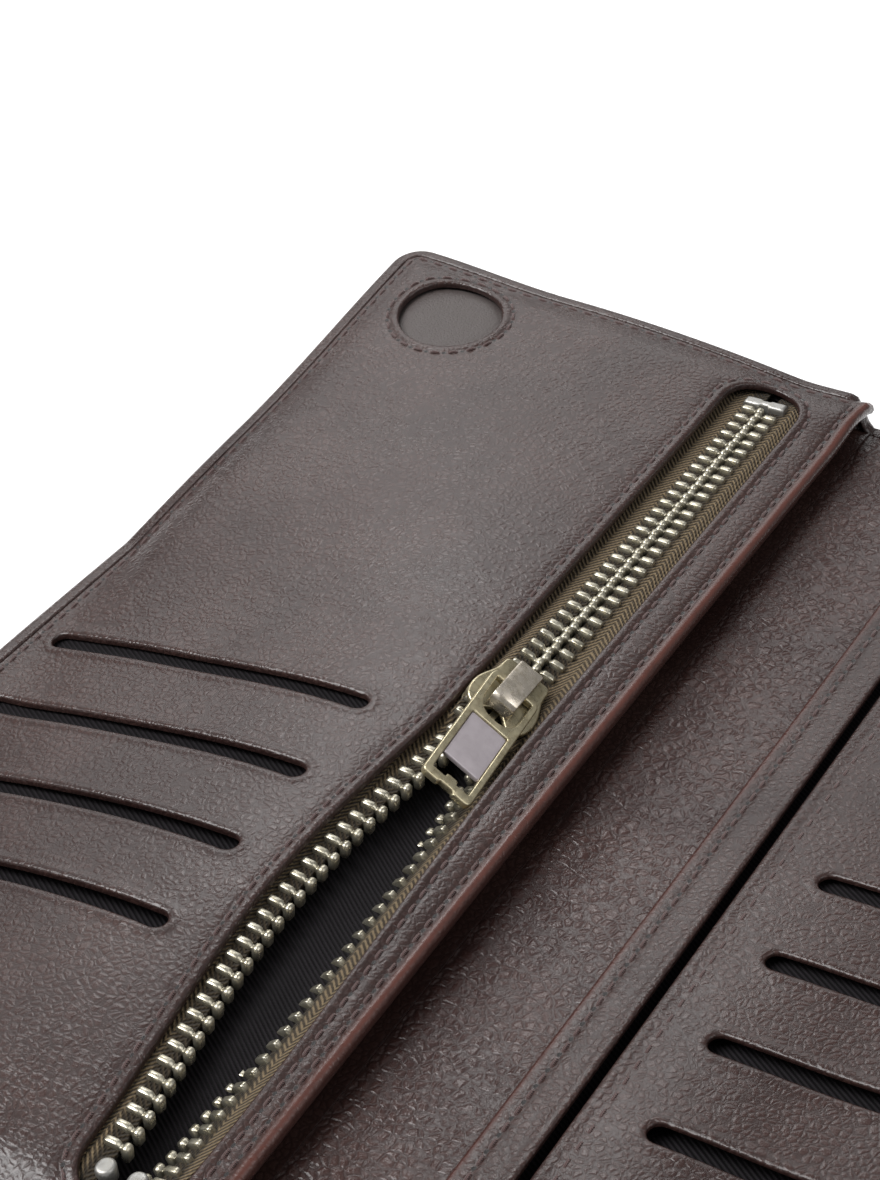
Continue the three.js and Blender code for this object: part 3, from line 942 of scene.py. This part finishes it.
def make_coin_bag():
    """Two sheets of lining: one hangs from the tapes, the other makes the back of the bag."""
    low, high = node_box("coin_bag_back")

    def sag(x, y):
        off = x - ZIP_X - sway(y)
        inward = smooth((off + 16) / 10) * (1 - smooth((off + 3) / 5))
        fold = 0.62 + 0.32 * np.sin(0.55 * off + 0.06 * y) + 0.18 * np.sin(0.21 * y + 1.3)
        rise = 2.0 * smooth((off - 5.5) / 4)
        return fold * inward + rise

    outline = box_outline(low[0], high[0], low[1], high[1])
    inner_sheet("coin_bag_back", -1, outline, LINING, "lining", 0.14, step=1.2, sag=sag)
    obj = inner_sheet("coin_bag_front", -1, outline, LINING, "lining", 0.14, [window_outline(0.4)])


def make_magnet(side):
    """The magnet, and over it the pressed disc of leather at the bottom of the round recess."""
    name, cx, cy = NAMES[side], side * MAGNET_X, MAGNET_Y

    def disc(radius, step, ring):
        p, tris, _ = flat_mesh(circle(cx, cy, radius), (), step, (ring,), 0.8)
        return p, tris, TOPS[side](p[:, 0], p[:, 1]), np.hypot(p[:, 0] - cx, p[:, 1] - cy)

    p, tris, top, r = disc(11.0, 1.2, 0.4)
    z = top - 1.47 + 0.3 * (1 - smooth((r - 7.2) / 1.6))
    make(f"{name}_magnet_cover_leather", f"{name}_half", "leather", PRESSED, *slab(p, tris, z, z - 0.5),
         [f"{name}_magnet_cover"], sharp=60)
    p, tris, top, r = disc(8.5, 1.6, 0.3)
    rim = 0.25 * (1 - smooth((8.5 - r) / 0.3))
    z = top - 2.08 - rim
    make(f"{name}_magnet_disc", f"{name}_half", "magnet", MAGNET, *slab(p, tris, z, z - 1.1 + 2 * rim),
         [f"{name}_magnet"])


# ---- zip ----
TILT = {-1: 9.0, 1: 44.0}  # how far each row leans down where the zip stands open
BEND = (3.6, 8.6)  # the tape bends between these distances from the rows' line
LIFT = {-1: 0.5, 1: -2.4}  # how far each row rises there
TWIST = math.radians(30)  # how far the zip and slider roll towards the spine
TWIST_SHIFT = (-1.2, -0.5)  # how far that moves the slider in x and z


def twist(y):
    """How much of that roll the rows take up: all of it at the slider, none further on."""
    return np.exp(-(np.maximum(y - SLIDER_Y, 0) / 21) ** 2) * smooth((y - SLIDER_Y + 9) / 4)


def tape_section(y, side, reach):
    """Points x, z of the tape's middle at y, for distances `reach` from the rows' line, and its lean."""
    d = np.linspace(BEND[1], -1.5, 60)
    lean = np.radians(TILT[side]) * bow(y) ** 0.35 * (1 - smooth((d - BEND[0]) / (BEND[1] - BEND[0])))
    step = d[0] - d[1]
    x = np.concatenate([[0], np.cumsum(np.cos(lean[1:]))]) * step
    z = -np.concatenate([[0], np.cumsum(np.sin(lean[1:]))]) * step
    far = np.maximum(reach - BEND[1], 0)
    near = np.minimum(reach, BEND[1])
    px = np.interp(-near, -d, x)
    pz = np.interp(-near, -d, z)
    centre = lip(y, side) + BEND[1]
    level = TAPE_Z + LIFT[side] * bow(y) ** 0.3 * smooth((9 - reach) / 3)
    x = side * (centre - px + far)
    part = twist(y) * (1 - smooth((reach - 2.5) / 4.5))
    roll = TWIST * part
    z = level + pz - x * np.sin(roll) + TWIST_SHIFT[1] * part
    x = x * np.cos(roll) + TWIST_SHIFT[0] * part
    return ZIP_X + sway(y) + x, z, np.interp(-near, -d, lean) - side * roll


def make_tape(side):
    name = NAMES[side]
    reach = np.concatenate([np.linspace(1.0, 9, 26), [10, 11.2]])
    end = WINDOW_END + 2
    ys = np.linspace(-end, end, 260)
    rings = []
    for y in ys:
        x, z, _ = tape_section(y, side, reach)
        x = np.minimum(x, -FREE_EDGE - 3.0 + 0.1 * (reach - reach[-1]))
        under = left_top(x, np.full_like(x, y)) - PANEL - 0.35
        edge = window_edge(y, side)
        past_end = max(abs(y) - WINDOW_END + edge, 0)
        outside = np.hypot(x - ZIP_X - sway(y), past_end) - edge
        hidden = np.maximum(smooth((outside + 0.8) / 0.8), reach > 5.0)
        z = z - np.maximum(z - under, 0) * hidden
        top, low = (np.column_stack([x, np.full_like(x, y), z + h]) for h in (0.24, -0.24))
        ring = np.vstack([top, low[::-1]])
        rings.append(ring if side < 0 else ring[::-1])
    points, faces = loft(rings)
    # Painted shade: the tape under the rows of teeth is marked to be painted near-black.
    shaded = 1 - smooth((reach - 2.9) / 0.9)
    obj = make(f"{name}_zip_tape", "left_half", "zip_tape", TAPE, points, faces, [f"zip_tape_{name}"],
               np.tile(np.concatenate([shaded, shaded[::-1]]), len(ys)), 60)


# One tooth from its legs to its head: distance from the rows' line, half width, half height.
TOOTH_SECTIONS = [(3.25, 0.36, 0.80), (3.15, 0.44, 1.02), (2.8, 0.48, 1.10), (1.5, 0.48, 1.12),
                  (1.25, 0.45, 1.04), (1.0, 0.38, 0.72), (0.75, 0.42, 0.76), (0.5, 0.62, 1.10),
                  (0.1, 0.70, 1.22), (-0.3, 0.64, 1.10), (-0.52, 0.40, 0.74)]


def make_teeth(side):
    name = NAMES[side]
    shift = 0 if side < 0 else PITCH / 2
    corner = 0.3
    parts, wear_and_painted_light = [], []
    for i in range(TEETH):
        y = LAST_TOOTH - shift - i * PITCH
        x0, z0, lean = tape_section(y, side, np.array([3.0]))
        x0, z0, lean = float(x0[0]), float(z0[0]), float(lean[0])
        out = np.array([side * math.cos(lean), 0, math.sin(lean)])
        up = np.array([-side * math.sin(lean), 0, math.cos(lean)])
        rings = []
        for d, w, h in TOOTH_SECTIONS:
            c = np.array([x0, y, z0]) + out * (d - 3.0) + up * 0.05
            k = corner * w * (1 if d < 1.3 else 0.6)
            upper = [(w, h - k), (w - k, h), (-w + k, h), (-w, h - k)]
            loop = upper + [(-a, -b) for a, b in upper]
            rings.append([c + np.array([0, a, 0]) + up * b for a, b in loop])
            dirt = 0.9 if 0.6 < d < 1.1 else 0.12
            wear_and_painted_light += [dirt * (0.4 if b > 0 else 1.0) for a, b in loop]
        parts.append(loft(rings if side < 0 else [r[::-1] for r in rings]))
    points, faces = joined(parts)
    make(f"{name}_zip_teeth", "left_half", "antique_brass", TOOTH, points, faces,
         [f"zip_teeth_{name}"], np.array(wear_and_painted_light), 75)


def solid(outline, z0, z1, bevel, holes=(), step=1.5, crown=None):
    """A plate with rounded edges above and below."""
    rings = [bevel * k for k in (0.12, 0.35, 0.65, 1.0)]
    p, tris, loops = flat_mesh(outline, holes, step, rings, 0.35)
    d = np.min([distance(p, loop) for loop in loops], 0)
    fall = rounding(d, bevel)
    lift = crown(p[:, 0], p[:, 1]) if crown else 0
    top, low = z1 - fall + lift, z0 + fall
    return slab(p, tris, top, low)


def moved(part, at, turned=None):
    points = part[0] if turned is None else part[0] @ np.array(turned).T
    return points + np.array(at), part[1]


def make_stops():
    """The clamp at the closed end and the two small stops at the open end."""
    low, high = node_box("zip_bottom_stop")
    cx, cy = (low[0] + high[0]) / 2, (low[1] + high[1]) / 2
    hx, hy = (high[0] - low[0]) / 2, (high[1] - low[1]) / 2
    outline = np.array([(-hx, -hy), (-0.9, -hy), (-0.5, -hy + 0.35), (0.5, -hy + 0.35), (0.9, -hy),
                        (hx, -hy), (hx, hy), (0.9, hy), (0.5, hy - 0.3), (-0.5, hy - 0.3),
                        (-0.9, hy), (-hx, hy)])
    clamp = moved(solid(outline, low[2], high[2], 0.42, step=0.8), (cx, cy, 0))
    make("zip_bottom_stop_clamp", "left_half", "antique_brass", STOP_METAL, *clamp, ["zip_bottom_stop"],
         sharp=70)
    for side in (-1, 1):
        name = NAMES[side]
        low, high = node_box(f"zip_top_stop_{name}")
        cy = (low[1] + high[1]) / 2
        cx = (low[0] + high[0]) / 2 + sway(cy)
        outline = obround(0, 0, high[1] - low[1], high[0] - low[0], False)
        plate = moved(solid(outline, low[2], high[2], 0.5, step=0.7), (cx, cy, 0))
        make(f"zip_top_stop_{name}_clip", "left_half", "antique_brass", STOP_METAL, *plate,
             [f"zip_top_stop_{name}"], sharp=70)


# ---- slider and pull ----
def curve(points, n=8):
    """A quadratic or cubic curve with these control points."""
    p = np.array(points, float)
    t = np.linspace(0, 1, n)[:, None]
    if len(p) == 3:
        return (1 - t) ** 2 * p[0] + 2 * t * (1 - t) * p[1] + t * t * p[2]
    return (1 - t) ** 3 * p[0] + 3 * t * (1 - t) ** 2 * p[1] + 3 * t * t * (1 - t) * p[2] + t ** 3 * p[3]


def slider_half():
    """Right side of the slider seen from above: round wing at the mouth, narrow at the back."""
    w, b = 5.4, 3.9
    return np.vstack([curve([(2.6, -5.5), (w, -5.5), (w, -2)]),
                      curve([(w, -2), (w, 0.5), (b, 1.5), (b, 4)])[1:],
                      curve([(b, 4), (b, 5.5), (b - 1, 5.5)])[1:]])


def mirrored(points):
    """A line on the other side of the Y axis, run backwards."""
    return np.array([(-x, y) for x, y in points[::-1]])


def rolled(part):
    """A part of the slider, rolled with the zip."""
    at = (ZIP_X + TWIST_SHIFT[0], SLIDER_Y, TAPE_Z + TWIST_SHIFT[1])
    return moved(part, at, Matrix.Rotation(TWIST, 3, "Y"))


def make_slider():
    right = slider_half()
    outline = np.vstack([right, mirrored(right)])
    notched = np.vstack([[(0, -3.2)], outline])

    def crown(x, y):
        return 0.16 * (1 - smooth(np.hypot(x / 5.4, y / 5.8)))

    parts = [solid(notched, 1.5, 2.4, 0.32, crown=crown), solid(outline, -2.1, -1.35, 0.3)]
    flank = np.vstack([right[6:-3], [(3.6, 5.0), (3.15, 5.0)], [(3.15, 3.2), (4.75, -2.5), (4.78, -4.0)]])
    for s in (-1, 1):
        shape = flank if s > 0 else mirrored(flank)
        parts += [solid(shape, 0.6, 1.9, 0.08), solid(shape, -1.8, -0.6, 0.08)]
    wedge = np.array([(0, -0.9), (-0.65, -2.6), (-0.5, -5.0), (0.5, -5.0), (0.65, -2.6)])
    parts.append(solid(wedge, -1.6, 1.7, 0.1, step=0.6))
    points, faces = joined(parts)
    # Painted shadow: the middle of the slider's top, under the bridge and the pull's eye, is painted dark.
    stain_and_shade = 0.9 * np.exp(-(points[:, 0] / 2.6) ** 2) * (points[:, 2] > 1)
    points, faces = rolled((points, faces))
    make("slider_body_metal", "slider", "antique_brass", BRASS, points, faces, ["slider_body"],
         stain_and_shade, 50)


def make_bridge():
    """The strap over the slider that the pull hangs on: broad, flat on top, rounded at its ends."""
    low, high = node_box("slider_bridge")
    half, tall = (high[0] - low[0]) / 2, high[2] - low[2]
    a = np.radians(np.arange(15, 90, 15))
    ys = np.concatenate([[-4.1, -4.1], -3.0 - 1.1 * np.cos(a), [-1.5, 0, 1.5],
                         3.4 + 1.3 * np.sin(a), [4.75, 5.0]])
    zs = np.concatenate([[0, 1.5], 1.55 + 1.1 * np.sin(a), [2.65, 2.65, 2.65],
                         1.4 + 1.25 * np.cos(a), [1.2, 0]]) * tall / 2.65
    line = np.column_stack([ys, zs])
    ahead = np.gradient(line, axis=0)
    ahead /= np.hypot(*ahead.T)[:, None]
    inner = line + np.column_stack([ahead[:, 1], -ahead[:, 0]]) * 0.85
    inner[:, 1] = np.maximum(inner[:, 1], 0)
    rings = []
    for (y1, z1), (y0, z0) in zip(line, inner):
        b, c = 0.3, 0.09  # the strap's rounded sides
        e = np.array([y0 - y1, z0 - z1])
        e = e / max(np.hypot(*e), 1e-6)
        ring = []
        for x, k in ((-half, b), (c - half, c), (b - half, 0), (half - b, 0), (half - c, c), (half, b)):
            ring.append((x, y1 + e[0] * k, z1 + e[1] * k))
        ring += [(half, y0, z0), (-half, y0, z0)]
        rings.append(ring)
    points, faces = loft([r[::-1] for r in rings])
    points = points + np.array((0, 0, low[2] - TAPE_Z))
    points, faces = rolled((points, faces))
    make("slider_bridge_metal", "slider", "antique_brass", BRIDGE, points, faces, ["slider_bridge"],
         sharp=40)


PULL_LIES = (3.8, 1.5, 37.0)  # degrees the loose pull is swung aside, droops and rolls


def pull_frame():
    """The frame with the eye for the bridge and the room for the plate, its pivot at the origin."""
    w, tall = 4.15, 22.0
    right = np.vstack([curve([(w - 1, -tall), (w, -tall), (w, -tall + 1)]),
                       curve([(w, -1.2), (w, 0.6), (w - 1.6, 0.6)])])
    notch = np.array([(-1.25, -tall), (-1.1, -tall + 0.35), (1.1, -tall + 0.35), (1.25, -tall)])
    outline = np.vstack([notch, right, mirrored(right)])
    eye_right = curve([(3.1, -4.3), (3.1, -7.2), (0, -7.2)])
    eye = np.vstack([[(3.1, -0.6)], eye_right, mirrored(eye_right)[1:], [(-3.1, -0.6)]])
    tab = [(-1.0, -20.4), (-0.85, -19.75), (0.85, -19.75), (1.0, -20.4)]
    room = np.array([(-3.1, -8.4), (-3.1, -20.4), *tab, (3.1, -20.4), (3.1, -8.4)])
    return solid(outline, -0.6, 0.6, 0.24, [eye, room], step=1.0)


def make_pull():
    low, high = node_box("pull_frame")
    over = (low[2] + high[2]) / 2 + 0.2 - TAPE_Z
    pivot = rolled((np.array([(0.0, high[1] - 0.6 - SLIDER_Y, over)]), []))[0][0]
    aside, droop, roll = (math.radians(a) for a in PULL_LIES)
    lies = Matrix.Rotation(aside, 3, "Z") @ Matrix.Rotation(droop, 3, "X") @ Matrix.Rotation(roll, 3, "Y")
    points, faces = moved(pull_frame(), pivot, lies)
    make("pull_frame_metal", "pull_tab", "antique_brass", BRASS, points, faces, ["pull_frame"])
    outline = box_outline(-3.07, 3.07, -17.2, -8.43)
    points, faces = moved(solid(outline, -0.35, 0.42, 0.16, step=1.2), pivot, lies)
    make("pull_plate_metal", "pull_tab", "pull_plate", PLATE, points, faces, ["pull_plate"])


# ---- stage ----
def area_light(name, at, aim, size, power):
    data = bpy.data.lights.new(name, "AREA")
    data.shape = "RECTANGLE"
    data.size, data.size_y = size
    data.energy = power
    light = add(name, data)
    at = Vector(at)
    turned = (Vector(aim) - at).to_track_quat("-Z", "Y")
    light.matrix_world = Matrix.Translation(at) @ turned.to_matrix().to_4x4()


def make_stage():
    mesh = bpy.data.meshes.new("floor")
    r = 6.0  # half the floor's width, in metres
    mesh.from_pydata([(-r, -r, 0), (r, -r, 0), (r, r, 0), (-r, r, 0)], [], [(0, 1, 2, 3)])
    floor = add("floor", mesh)
    floor.location.z = -0.0002
    mesh.materials.append(pale_paper("floor_paper"))
    world = bpy.data.worlds.new("studio")
    bpy.context.scene.world = world
    world.use_nodes = True
    back = world.node_tree.nodes["Background"]
    back.inputs["Color"].default_value = (1.0, 1.0, 1.0, 1)
    back.inputs["Strength"].default_value = 0.22
    area_light("window", (-0.75, 1.10, 0.80), (-0.06, 0.03, 0), (1.3, 0.8), 5)
    area_light("key", (-0.65, -0.45, 1.35), (0, 0, 0), (1.1, 1.1), 38)
    area_light("fill", (0.95, 0.15, 1.0), (0, 0, 0), (0.9, 0.9), 5)
    area_light("spark", (-0.19, 0.215, 0.31), (-0.05, 0, 0), (0.1, 0.1), 0.2)
    bpy.context.scene.view_settings.view_transform = "Standard"


# ---- build ----
for half_side in (-1, 1):
    make_cover(half_side)
    make_gutter(half_side)
    make_panel(half_side)
    make_seams(half_side)
    make_inner(half_side)
    make_magnet(half_side)
    make_tape(half_side)
    make_teeth(half_side)
make_slip_lining()
make_coin_bag()
make_stops()
make_slider()
make_bridge()
make_pull()
make_stage()
